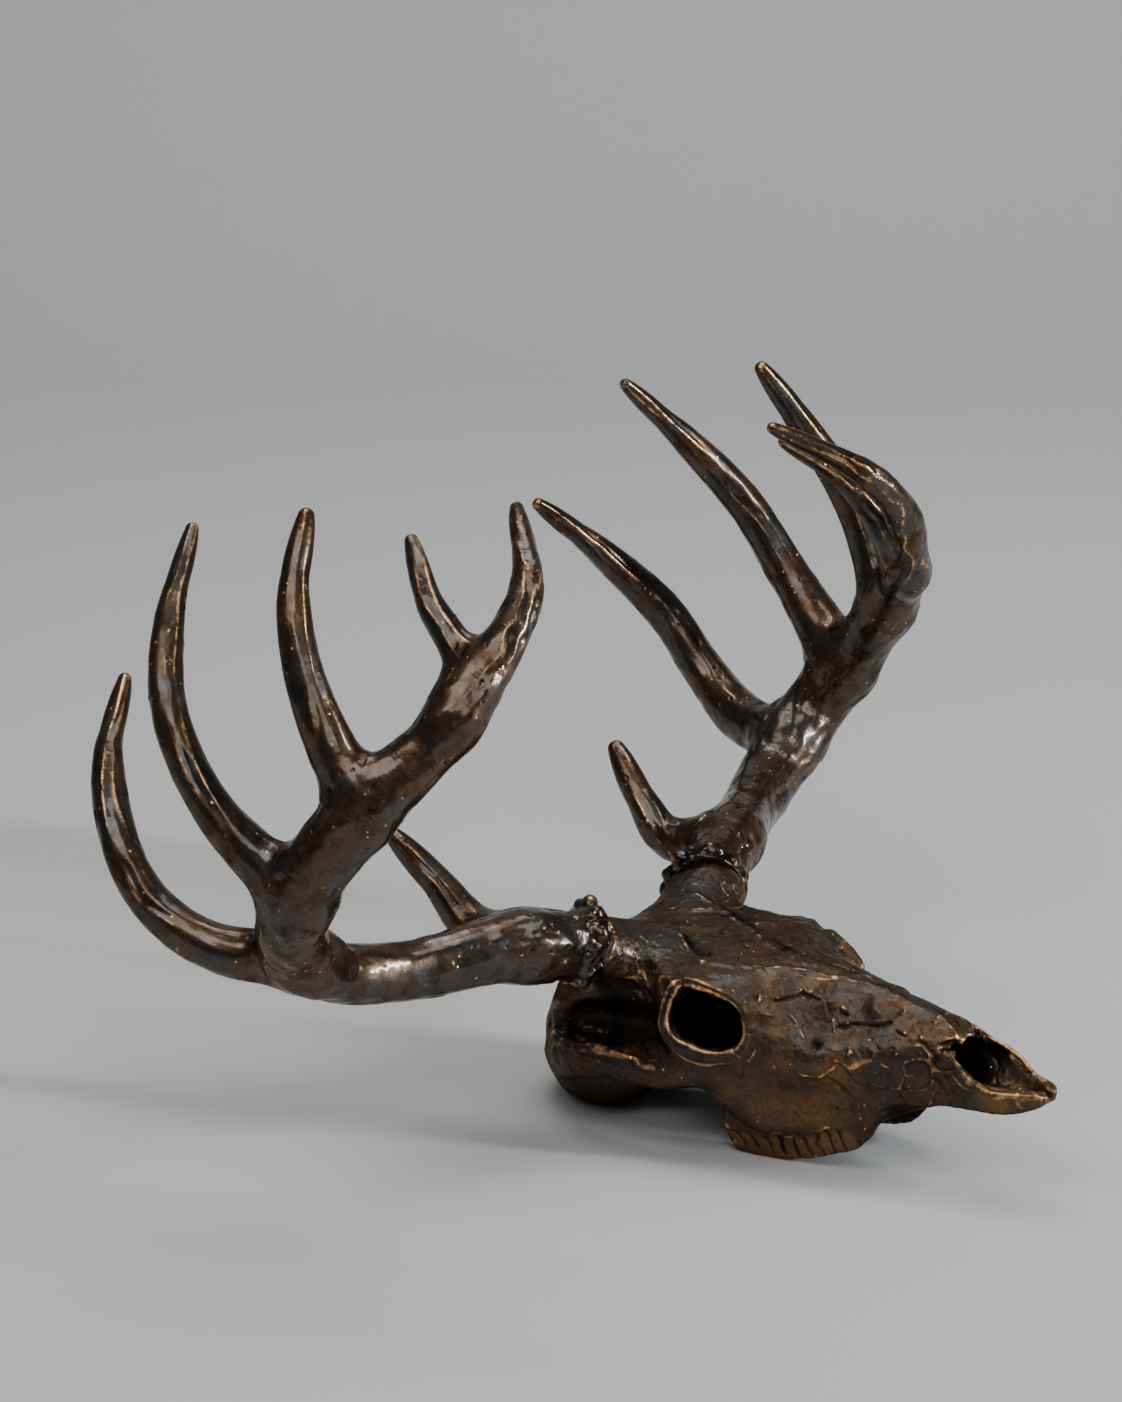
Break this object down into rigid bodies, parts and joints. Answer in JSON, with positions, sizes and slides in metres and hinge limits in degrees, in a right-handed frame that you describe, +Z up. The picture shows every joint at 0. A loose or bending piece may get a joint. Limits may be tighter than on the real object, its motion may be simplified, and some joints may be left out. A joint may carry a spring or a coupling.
{
  "type": "bronze deer skull sculpture",
  "caption": "Life-size bronze casting of a whitetail buck's skull without its lower jaw, with a full rack, lying at rest on its teeth.",
  "frame": {"origin": "on the table, under the middle of the casting's box", "axes": "+X towards the muzzle, +Y to the animal's left, +Z up from the table"},
  "size_m": [0.4258, 0.5078, 0.3353],
  "materials": {
    "bronze": "satin"
  },
  "bodies": {
    "root": {"tooth_row_left": "bronze", "tooth_row_right": "bronze", "nasal_bones": "bronze", "premaxilla_left": "bronze", "premaxilla_right": "bronze", "maxilla_left": "bronze", "maxilla_right": "bronze", "pedicle_left": "bronze", "pedicle_right": "bronze", "orbit_left": "bronze", "orbit_right": "bronze", "zygomatic_arch_left": "bronze", "zygomatic_arch_right": "bronze", "frontal": "bronze", "occiput": "bronze", "temporal_bulge_left": "bronze", "temporal_bulge_right": "bronze", "braincase": "bronze", "burr_left": "bronze", "beam_lower_left": "bronze", "beam_middle_left": "bronze", "beam_upper_left": "bronze", "brow_tine_left": "bronze", "second_tine_left": "bronze", "third_tine_left": "bronze", "fourth_tine_left": "bronze", "fifth_tine_left": "bronze", "burr_right": "bronze", "beam_lower_right": "bronze", "beam_middle_right": "bronze", "beam_upper_right": "bronze", "brow_tine_right": "bronze", "second_tine_right": "bronze", "third_tine_right": "bronze", "fourth_tine_right": "bronze", "fifth_tine_right": "bronze"}
  },
  "joints": []
}
